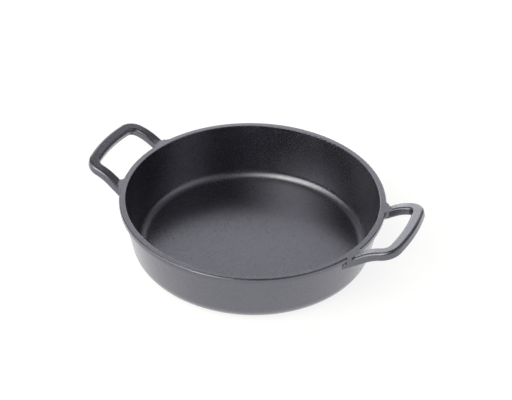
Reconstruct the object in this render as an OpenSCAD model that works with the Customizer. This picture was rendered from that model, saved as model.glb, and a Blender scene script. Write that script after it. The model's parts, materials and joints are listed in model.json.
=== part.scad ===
// Round cast iron pan with two loop handles cast on at opposite sides of its rim.
// The origin is on the table under the middle of the pan, +Z is up,
// and the handles lie along X.

/* [Bowl] */
// Diameter over the outside of the rim
rim_d = 280; // [240:5:320]
// Height from the table to the top of the rim
pan_h = 67; // [55:1:85]
// Thickness of the wall, square to its face
wall_t = 4.2; // [3.5:0.1:5.5]
// Lean of the wall away from upright, in degrees
wall_lean = 10.7; // [4:0.1:14]
// Thickness of the floor
floor_t = 5; // [4:0.1:7]
// Outside radius between floor and wall
outer_corner_r = 20; // [16:0.5:26]
// Inside radius between floor and wall
inner_corner_r = 10; // [5:0.5:18]

/* [Rim] */
// Width of the flat top of the rim, with its rounded edges
rim_w = 6.6; // [5.5:0.1:9]
// Height of the upright band round the outside of the rim
band_h = 5; // [3:0.5:8]
// Height of the slope that leads from the band back to the wall
band_run_out = 3; // [2:0.5:5]
// Rounding of the outer edge of the rim
rim_outer_r = 1.2; // [0.6:0.1:2]
// Rounding of the inner edge of the rim
rim_inner_r = 0.8; // [0.4:0.1:1.5]

/* [Foot ring] */
// Distance from the edge of the flat underside in to the ring that the pan stands on
foot_inset = 2.5; // [0:0.5:20]
// Width of the ring
foot_w = 8; // [5:0.5:14]
// Height that the ring lifts the floor off the table
foot_h = 1; // [0.6:0.1:2]
// Rounding of the ring's two lower edges
foot_edge_r = 0.5; // [0.2:0.1:0.5]

/* [Handles] */
// Distance that each handle stands out from the rim
handle_reach = 40.4; // [34:0.2:50]
// Height of the grip's outer top edge above the rim
grip_rise = 18.3; // [10:0.1:24]
// Width of the bar, seen from above
bar_w = 12; // [10:0.1:14]
// Thickness of the bar
bar_t = 9.6; // [8:0.1:12]
// Rounding of the bar's four long edges
bar_edge_r = 2.8; // [1:0.1:3.6]
// Slope of the grip, rising outwards, in degrees
grip_tilt = 15.5; // [8:0.5:18]
// Distance between the middles of the two arms, where they meet the bends
arm_spacing = 85; // [70:0.5:96]
// Angle at which each arm spreads towards the pan, in degrees
arm_splay = 3.8; // [0:0.1:8]
// Radius of the bends between arms and grip, at the middle of the bar
bend_r = 13; // [10:0.1:18]
// Radius of the curve in which each arm rises, at the middle of the bar
arm_curve_r = 50; // [40:1:60]
// Slope of each arm where it leaves the wall, in degrees
root_slope = 35.5; // [30:0.5:44]

/* [Handle roots] */
// Width of the flat web that widens the rim in front of each arm
web_w = 4; // [3:0.5:6]
// Thickness of the web
web_t = 9; // [6:0.5:12]
// Slope at which the arm's top rises out of the web, in degrees
crease_slope = 55; // [45:1:80]
// Radius of the hollow corner between web and rim, on the arm's outer side
web_outer_r = 4.5; // [3:0.5:6]
// Radius of the hollow corner between web and rim, on the side of the finger gap
web_inner_r = 3; // [2:0.5:6]

/* [Hidden] */
$fn = 96;
iron = [0.17, 0.17, 0.18];
ground_iron = [0.26, 0.26, 0.27];

// Bowl: the lean turns into run per height, and the two corners into tangent lengths
rim_r = rim_d / 2;
lean_run = tan(wall_lean);
corner_angle = 90 - wall_lean;
bore_top_r = rim_r - rim_w;
wall_across = wall_t / cos(wall_lean);
shell_top_r = bore_top_r + wall_across;
function inner_r_at(z) = bore_top_r - (pan_h - z) * lean_run;
function outer_r_at(z) = shell_top_r - (pan_h - z) * lean_run;
inner_floor_z = foot_h + floor_t;
// Where a flat floor line ends and its corner arc begins
function flat_r(top_r, z0, corner_r) =
    top_r - (pan_h - z0) * lean_run - corner_r * tan(corner_angle / 2);
foot_r = flat_r(shell_top_r, foot_h, outer_corner_r) - foot_inset;
band_z = pan_h - band_h;
rim_seam_z = band_z - band_run_out;
// The corner's seams start in the flat upper face of the floor and above both arcs in the wall
floor_seam_r = flat_r(bore_top_r, inner_floor_z, inner_corner_r) - wall_t / 2;
wall_seam_z = max(foot_h + outer_corner_r, inner_floor_z + inner_corner_r);
crease_r = rim_r + web_w;

// Handles: the grip lies in a sloping plane that meets the pan's axis at grip_plane_z
handle_end_r = rim_r + handle_reach;
grip_r = handle_end_r / cos(grip_tilt) - bar_w / 2;
grip_plane_z = pan_h + grip_rise - handle_end_r * tan(grip_tilt) - bar_t / 2 / cos(grip_tilt);
bend_y = arm_spacing / 2 - bend_r * cos(arm_splay);
grip_half_angle = asin(bend_y / (grip_r - bend_r));
bend_x = (grip_r - bend_r) * cos(grip_half_angle);
bend_angle = 90 - grip_half_angle - arm_splay;
arm_x = bend_x + bend_r * sin(arm_splay);
arm_y = arm_spacing / 2;
arm_sweep = root_slope - grip_tilt;
// Long enough to carry every arm through the wall, where the pan cuts it off
root_length = handle_reach;
// Bends and roots are a hair fuller than the bar, which runs a lap into each of them
lap = bar_w * 0.07;
hair = bar_w * 0.003;
function lap_angle(r) = lap / r * 180 / PI;

// Arm seen from above: a point on its middle line, and the unit vectors along and across it
arm_heading = [cos(arm_splay) * cos(grip_tilt), -sin(arm_splay)];
arm_along = arm_heading / norm(arm_heading);
arm_across = [-arm_along[1], arm_along[0]];
arm_drop = arm_curve_r * (1 - cos(arm_sweep));
arm_run = arm_curve_r * sin(arm_sweep);
arm_foot = [
    (arm_x - arm_run * cos(arm_splay)) * cos(grip_tilt) + arm_drop * sin(grip_tilt),
    arm_y + arm_run * sin(arm_splay)
];

// Centre of a circle of radius r that touches the rim and one side of the arm (1 is the outer)
function beside_arm(side, r) = arm_foot + side * (bar_w / 2 + r) * arm_across;
function reach_along(p, r) = -(p * arm_along) + sqrt(pow(p * arm_along, 2) - p * p + r * r);
function fillet_centre(side, r) =
    beside_arm(side, r) + reach_along(beside_arm(side, r), rim_r + r) * arm_along;

// A half section filled to the axis: a floor line at z0, the leaning wall, and a corner arc
module walled_section(top_r, z0, corner_r) {
    centre = [flat_r(top_r, z0, corner_r), z0 + corner_r];
    polygon([
        [0, z0],
        [centre[0], z0],
        centre,
        centre + corner_r * [cos(wall_lean), -sin(wall_lean)],
        [top_r, pan_h],
        [0, pan_h]
    ]);
    translate(centre) circle(corner_r);
}

// The pan's outline and its hollow as half sections, and a cut of the shell that lies between them
module outer_section() walled_section(shell_top_r, foot_h, outer_corner_r);
module inner_section() walled_section(bore_top_r, inner_floor_z, inner_corner_r);
module shell_section(low, high) {
    intersection() {
        difference() {
            outer_section();
            inner_section();
        }
        translate(low) square(high - low);
    }
}

// The whole rim as a half section, from the bore to the outside of the band
module rim_section() {
    outer = [rim_r - rim_outer_r, pan_h - rim_outer_r];
    inner = [
        bore_top_r + rim_inner_r * (1 / cos(wall_lean) - lean_run),
        pan_h - rim_inner_r
    ];
    polygon([
        inner,
        inner - rim_inner_r * [cos(wall_lean), -sin(wall_lean)],
        [inner_r_at(rim_seam_z), rim_seam_z],
        [outer_r_at(rim_seam_z), rim_seam_z],
        [rim_r, band_z],
        [rim_r, outer[1]],
        outer,
        [outer[0], pan_h],
        [inner[0], pan_h]
    ]);
    translate(outer) circle(rim_outer_r);
    translate(inner) circle(rim_inner_r);
}

// The bar's cross-section, made larger all round by fuller
module bar_section(w, h, fuller = 0) {
    flat = [w, h] - 2 * bar_edge_r * [1, 1];
    square(flat + 2 * [bar_edge_r + fuller, 0], center = true);
    square(flat + 2 * [0, bar_edge_r + fuller], center = true);
    for (x = [-1, 1], y = [-1, 1])
        translate([x * flat[0] / 2, y * flat[1] / 2]) circle(bar_edge_r + fuller);
}

// The grip runs in an arc round the pan's axis, in its sloping plane
module grip() {
    half_angle = grip_half_angle + lap_angle(grip_r);
    rotate([0, 0, -half_angle])
        rotate_extrude(angle = 2 * half_angle)
            translate([grip_r, 0]) bar_section(bar_w, bar_t);
}

module bend() {
    translate([bend_x, bend_y, 0])
        rotate([0, 0, grip_half_angle])
            rotate_extrude(angle = bend_angle)
                translate([bend_r, 0]) bar_section(bar_w, bar_t, hair);
}

// Each arm curves down towards the pan and then runs straight into the wall
module arm() {
    translate([arm_x, arm_y, -arm_curve_r])
        rotate([0, 0, -arm_splay])
            rotate([90, 0, 0]) {
                rotate([0, 0, 90 - lap_angle(arm_curve_r)])
                    rotate_extrude(angle = arm_sweep + 2 * lap_angle(arm_curve_r))
                        translate([arm_curve_r, 0]) bar_section(bar_t, bar_w);
                rotate([0, 0, 90 + arm_sweep])
                    translate([arm_curve_r, 0, 0])
                        rotate([-90, 0, 0])
                            linear_extrude(root_length)
                                bar_section(bar_t, bar_w, hair);
            }
}

// The flat web in front of one arm, drawn between its two hollow corners,
// and the tongue with which it runs out into the arm's top
module web() {
    outer = fillet_centre(1, web_outer_r);
    inner = fillet_centre(-1, web_inner_r);
    outer_end = outer - web_outer_r * arm_across;
    inner_end = inner + web_inner_r * arm_across;
    translate([0, 0, pan_h - web_t / 2])
        linear_extrude(web_t / 2)
            polygon([
                outer_end - lap * arm_across - web_w * arm_along,
                inner_end + lap * arm_across - web_w * arm_along,
                inner_end + bar_w / 3 * arm_across + web_w * arm_along,
                outer_end - bar_w / 3 * arm_across + 2 * web_w * arm_along
            ]);
    translate([0, 0, pan_h - web_t])
        linear_extrude(web_t)
            difference() {
                polygon([
                    outer_end,
                    outer * rim_r / (rim_r + web_outer_r),
                    outer * bore_top_r / (rim_r + web_outer_r),
                    inner * bore_top_r / (rim_r + web_inner_r),
                    inner * rim_r / (rim_r + web_inner_r),
                    inner_end
                ]);
                translate(outer) circle(web_outer_r);
                translate(inner) circle(web_inner_r);
            }
}

module handle() {
    difference() {
        union() {
            translate([0, 0, grip_plane_z])
                rotate([0, -grip_tilt, 0]) {
                    grip();
                    for (side = [0, 1]) mirror([0, side, 0]) {
                        bend();
                        arm();
                    }
                }
            for (side = [0, 1]) mirror([0, side, 0]) web();
        }
        rotate_extrude() outer_section();
        rotate_extrude() rim_blank();
        translate([0, 0, pan_h])
            cylinder(h = pan_h, r1 = crease_r, r2 = crease_r + pan_h / tan(crease_slope));
    }
}

// The rim's outline filled in to the axis, which cuts the handles to the rim's shape
module rim_blank() {
    rim_section();
    square([bore_top_r + rim_inner_r, pan_h]);
}

// Flat floor
module floor_plate() {
    color(iron) rotate_extrude()
        shell_section([0, foot_h], [floor_seam_r, pan_h]);
}

// Broad rounded corner between floor and wall
module corner() {
    color(iron) rotate_extrude()
        shell_section([floor_seam_r, foot_h], [rim_r, wall_seam_z]);
}

// Leaning wall, up to the line where the thicker rim begins
module wall() {
    color(iron) rotate_extrude()
        shell_section([floor_seam_r, wall_seam_z], [rim_r, rim_seam_z]);
}

// Thickened rim with its upright band
module rim() {
    color(iron) rotate_extrude() rim_section();
}

// Ring under the floor that the pan stands on
module foot_ring() {
    color(ground_iron) rotate_extrude() {
        translate([foot_r - foot_w, foot_edge_r]) square([foot_w, foot_h - foot_edge_r]);
        translate([foot_r - foot_w + foot_edge_r, 0]) square([foot_w - 2 * foot_edge_r, foot_h]);
        for (r = [foot_r - foot_w + foot_edge_r, foot_r - foot_edge_r])
            translate([r, foot_edge_r]) circle(foot_edge_r);
    }
}

module handle_right() {
    color(iron) handle();
}

module handle_left() {
    color(iron) rotate([0, 0, 180]) handle();
}

floor_plate();
corner();
wall();
rim();
foot_ring();
handle_right();
handle_left();
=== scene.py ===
"""A satin black cast iron pan with two loop handles, in a plain white studio."""
import json
import math
from collections import namedtuple

import bpy
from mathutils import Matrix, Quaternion, Vector


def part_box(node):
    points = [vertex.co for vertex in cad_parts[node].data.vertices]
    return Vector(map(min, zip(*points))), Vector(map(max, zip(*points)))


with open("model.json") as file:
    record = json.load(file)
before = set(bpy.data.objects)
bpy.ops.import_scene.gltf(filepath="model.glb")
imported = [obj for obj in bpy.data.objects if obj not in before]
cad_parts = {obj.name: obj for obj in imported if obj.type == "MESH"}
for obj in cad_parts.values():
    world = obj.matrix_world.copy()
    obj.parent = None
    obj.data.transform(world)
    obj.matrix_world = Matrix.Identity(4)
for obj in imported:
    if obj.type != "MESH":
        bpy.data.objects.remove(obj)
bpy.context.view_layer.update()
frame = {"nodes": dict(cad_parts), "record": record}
RIM_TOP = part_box("rim")[1].z

# The photograph's camera, solved from the rim's ellipses and both handles, in pixels, degrees and metres
PHOTO_W, PHOTO_H = 512, 400
FOCAL_PX = 1418.9
CENTRE_PX = (252.3, 220.8)
CAMERA_AZIMUTH = 25.02
CAMERA_ELEVATION = 36.86
CAMERA_ROLL = 1.16
CAMERA_DISTANCE = 1.5085
SENSOR_MM = 36.0

# How wide the lumps in the iron's skin are, in metres
PATCH_SIZE = 0.03
WAVE_SIZE = 0.014
SAND_SIZE = 0.0013
DUST_SIZE = 0.0008

# The parts of the noise's range that are spread out, and the tops of the dust that count as grit, which is
# both raised relief and painted glints
PATCH_RANGE = (0.3, 0.7)
SAND_RANGE = (0.25, 0.75)
DUST_RANGE = (0.3, 0.7)
GRIT_AND_GLINT_RANGE = (0.66, 0.76)

# How far patches, sand and grit change the iron's colour, as shares of it; grit's lightening is painted
# glints, sparkle painted onto the grains
PATCH_SHADE = 0.04
SAND_SHADE = 0.15
# Painted glints: how much lighter the colour is painted on the grit, as sparkle
GRIT_PAINTED_GLINT = 0.6

# How far dust and patches change the roughness, and how high grit stands, with sand as 1
DUST_DULLING = 0.05
PATCH_DULLING = 0.015
GRIT_HEIGHT = 1.3

# The thin film of oil, baked on the iron
FILM_WEIGHT = 0.7
FILM_ROUGHNESS = 0.25

# Linear colour, roughness, and height in metres of the relief
Finish = namedtuple("Finish", "colour roughness grain")
FINISHES = {
    "cast_iron": Finish(colour=(0.134, 0.134, 0.161), roughness=0.25, grain=0.00007),
    "ground_cast_iron": Finish(colour=(0.27, 0.27, 0.28), roughness=0.4, grain=0.00003),
}

# Degrees from the camera's azimuth, degrees up, tightness, brightness, and its blue beside red and green
Glow = namedtuple("Glow", "azimuth elevation tightness brightness blue")
GLOWS = {
    "sweep behind the pan": Glow(azimuth=184, elevation=10, tightness=6.8, brightness=2.25, blue=1.0),
    "key at the left": Glow(azimuth=-44, elevation=50, tightness=13.2, brightness=4.3, blue=0.88),
    "white wall at the left": Glow(azimuth=-66, elevation=14, tightness=8.5, brightness=2.8, blue=0.94),
    "fill at the right": Glow(azimuth=75, elevation=25, tightness=5.3, brightness=0.75, blue=1.0),
}
ROOM_LEVEL = 0.005

WHITE = (1, 1, 1, 1)
# The floor's paint, which passes light on to the pan
FLOOR_PAINT = 0.8
# The floor as the camera and the iron see it: a part that takes the shadow, and plain white for the rest
FLOOR_SHADED_SHARE = 0.24
FLOOR_WHITE_SHARE = 0.84
FLOOR_HALF_WIDTH = 12.0
# The floor lies this far under the foot ring, so that the two faces don't coincide
FLOOR_DROP = 0.0001


def grey(value):
    """A colour with that value in red, green and blue."""
    return (value, value, value, 1)


def direction(azimuth, elevation):
    """The unit vector from the pan that points that way."""
    a, e = math.radians(azimuth), math.radians(elevation)
    return Vector((math.sin(a) * math.cos(e), -math.cos(a) * math.cos(e), math.sin(e)))


def make_camera():
    """The photograph's viewpoint: direction, distance, roll and the middle of the picture."""
    data = bpy.data.cameras.new("photo_camera")
    data.sensor_width = SENSOR_MM
    data.lens = SENSOR_MM * FOCAL_PX / PHOTO_W
    data.shift_x = (PHOTO_W / 2 - CENTRE_PX[0]) / PHOTO_W
    data.shift_y = (CENTRE_PX[1] - PHOTO_H / 2) / PHOTO_W
    camera = bpy.data.objects.new("photo_camera", data)
    bpy.context.scene.collection.objects.link(camera)
    back = direction(CAMERA_AZIMUTH, CAMERA_ELEVATION)
    level = (-back).to_track_quat("-Z", "Y")
    camera.rotation_mode = "QUATERNION"
    camera.rotation_quaternion = level @ Quaternion((0, 0, 1), math.radians(CAMERA_ROLL))
    camera.location = Vector((0, 0, RIM_TOP / 2)) + back * CAMERA_DISTANCE
    bpy.context.scene.camera = camera


class Nodes:
    """Short ways to make and join the nodes of a material or a world."""

    def __init__(self, owner):
        owner.use_nodes = True
        self.tree = owner.node_tree
        self.tree.nodes.clear()

    def new(self, kind, inputs=(), **settings):
        """A node whose inputs are sockets to join or plain values."""
        node = self.tree.nodes.new(kind)
        for key, value in settings.items():
            setattr(node, key, value)
        for key, value in dict(inputs).items():
            if isinstance(value, bpy.types.NodeSocket):
                self.tree.links.new(value, node.inputs[key])
            else:
                node.inputs[key].default_value = value
        return node

    def math(self, operation, a, b=0.0):
        return self.new("ShaderNodeMath", {0: a, 1: b}, operation=operation).outputs[0]

    def scaled(self, vector, scale):
        node = self.new("ShaderNodeVectorMath", {0: vector, "Scale": scale}, operation="SCALE")
        return node.outputs["Vector"]

    def spread(self, value, span, to_low, to_high):
        """The value with the ends of its span moved to two new ends, and nothing beyond them."""
        low, high = span
        ends = {"Value": value, "From Min": low, "From Max": high, "To Min": to_low, "To Max": to_high}
        return self.new("ShaderNodeMapRange", ends).outputs["Result"]

    def noise(self, place, size, detail=2.0, roughness=0.5):
        """Noise from 0 to 1 whose lumps are about size metres wide."""
        settings = {"Vector": place, "Scale": 1 / size, "Detail": detail, "Roughness": roughness}
        return self.new("ShaderNodeTexNoise", settings).outputs["Fac"]

    def mixed(self, share, first, second):
        """The first shader, or the second where the share is 1."""
        inputs = {0: share, 1: first.outputs[0], 2: second.outputs[0]}
        return self.new("ShaderNodeMixShader", inputs)


def cast_iron(name, finish):
    """Satin black cast iron: sand grain, sparse grit with painted glints, soft waves in the casting, and
    duller patches.
    """
    material = bpy.data.materials.new(name)
    n = Nodes(material)
    place = n.new("ShaderNodeTexCoord").outputs["Object"]
    patches = n.noise(place, PATCH_SIZE, detail=4, roughness=0.6)
    waves = n.noise(place, WAVE_SIZE, detail=1)
    sand = n.noise(place, SAND_SIZE, detail=2, roughness=0.55)
    dust = n.noise(place, DUST_SIZE, detail=1)
    grit_and_glints = n.spread(dust, GRIT_AND_GLINT_RANGE, 0.0, 1.0)

    shade = n.math(
        "MULTIPLY",
        n.spread(patches, PATCH_RANGE, 1 - PATCH_SHADE, 1 + PATCH_SHADE),
        n.spread(sand, SAND_RANGE, 1 - SAND_SHADE, 1 + SAND_SHADE),
    )
    # Painted glints: the grit lightens the colour as though its grains caught the light
    shade = n.math("ADD", shade, n.math("MULTIPLY", grit_and_glints, GRIT_PAINTED_GLINT))
    gloss = n.math(
        "ADD",
        n.spread(dust, DUST_RANGE, finish.roughness - DUST_DULLING, finish.roughness + DUST_DULLING),
        n.spread(patches, PATCH_RANGE, -PATCH_DULLING, PATCH_DULLING),
    )

    relief = n.math("ADD", sand, n.math("MULTIPLY", grit_and_glints, GRIT_HEIGHT))
    fine = n.new("ShaderNodeBump", {"Height": relief, "Distance": finish.grain, "Strength": 1.0})
    soft = n.new("ShaderNodeBump", {"Height": waves, "Distance": finish.grain, "Strength": 1.0,
                                    "Normal": fine.outputs[0]})
    shader = n.new("ShaderNodeBsdfPrincipled", {
        "Base Color": n.scaled(finish.colour, shade),
        "Metallic": 1.0,
        "Roughness": gloss,
        "Normal": soft.outputs[0],
        "Coat Weight": FILM_WEIGHT,
        "Coat Roughness": FILM_ROUGHNESS,
        "Coat Normal": soft.outputs[0],
    })
    n.new("ShaderNodeOutputMaterial", {"Surface": shader.outputs[0]})
    return material


def dress():
    """Gives every CAD node the finish that its record names."""
    iron = cast_iron("satin_cast_iron", FINISHES["cast_iron"])
    ground = cast_iron("ground_cast_iron", FINISHES["ground_cast_iron"])
    materials = {"cast_iron": iron, "ground_cast_iron": ground}
    slots = {s["node"]: s["material_slot"] for s in frame["record"]["subparts"]}
    for name, node in frame["nodes"].items():
        node.data.materials.clear()
        node.data.materials.append(materials[slots[name]])


def white_floor():
    """White paint that melts into the background, keeps a shadow, and is clear from below."""
    material = bpy.data.materials.new("white_floor")
    n = Nodes(material)
    paint = n.new("ShaderNodeBsdfDiffuse", {"Color": grey(FLOOR_PAINT)})
    shaded = n.new("ShaderNodeBsdfDiffuse", {"Color": grey(FLOOR_SHADED_SHARE)})
    white = n.new("ShaderNodeEmission", {"Color": WHITE, "Strength": FLOOR_WHITE_SHARE})
    seen = n.new("ShaderNodeAddShader", {0: shaded.outputs[0], 1: white.outputs[0]})
    ray = n.new("ShaderNodeLightPath").outputs
    looked_at = n.math("ADD", ray["Is Camera Ray"], ray["Is Glossy Ray"])
    from_above = n.mixed(looked_at, paint, seen)
    # From below, the floor lets the camera see the underside of the pan
    below = n.new("ShaderNodeNewGeometry").outputs["Backfacing"]
    clear = n.new("ShaderNodeBsdfTransparent")
    either_side = n.mixed(below, from_above, clear)
    n.new("ShaderNodeOutputMaterial", {"Surface": either_side.outputs[0]})
    return material


def make_floor():
    """One big square under the pan."""
    mesh = bpy.data.meshes.new("studio_floor")
    w = FLOOR_HALF_WIDTH
    mesh.from_pydata([(-w, -w, 0), (w, -w, 0), (w, w, 0), (-w, w, 0)], [], [(0, 1, 2, 3)])
    mesh.materials.append(white_floor())
    floor = bpy.data.objects.new("studio_floor", mesh)
    floor.location.z = -FLOOR_DROP
    bpy.context.scene.collection.objects.link(floor)


def make_light():
    """A dim room with four soft glows, the left two a little warm, which the camera sees as plain white."""
    world = bpy.data.worlds.new("studio")
    bpy.context.scene.world = world
    n = Nodes(world)
    toward = n.new("ShaderNodeTexCoord").outputs["Generated"]
    light = (ROOM_LEVEL,) * 3
    for glow in GLOWS.values():
        middle = direction(CAMERA_AZIMUTH + glow.azimuth, glow.elevation)
        facing = n.new("ShaderNodeVectorMath", {0: toward, 1: middle}, operation="DOT_PRODUCT")
        off_middle = n.math("SUBTRACT", facing.outputs["Value"], 1.0)
        falloff = n.math("EXPONENT", n.math("MULTIPLY", off_middle, glow.tightness))
        brightest = (glow.brightness, glow.brightness, glow.brightness * glow.blue)
        added = n.new("ShaderNodeVectorMath", {0: n.scaled(brightest, falloff), 1: light}, operation="ADD")
        light = added.outputs["Vector"]
    room = n.new("ShaderNodeBackground", {"Color": light, "Strength": 1.0})
    white = n.new("ShaderNodeBackground", {"Color": WHITE, "Strength": 1.0})
    is_camera = n.new("ShaderNodeLightPath").outputs["Is Camera Ray"]
    n.new("ShaderNodeOutputWorld", {"Surface": n.mixed(is_camera, room, white).outputs[0]})


make_camera()
make_light()
make_floor()
dress()
bpy.context.scene.view_settings.view_transform = "Standard"
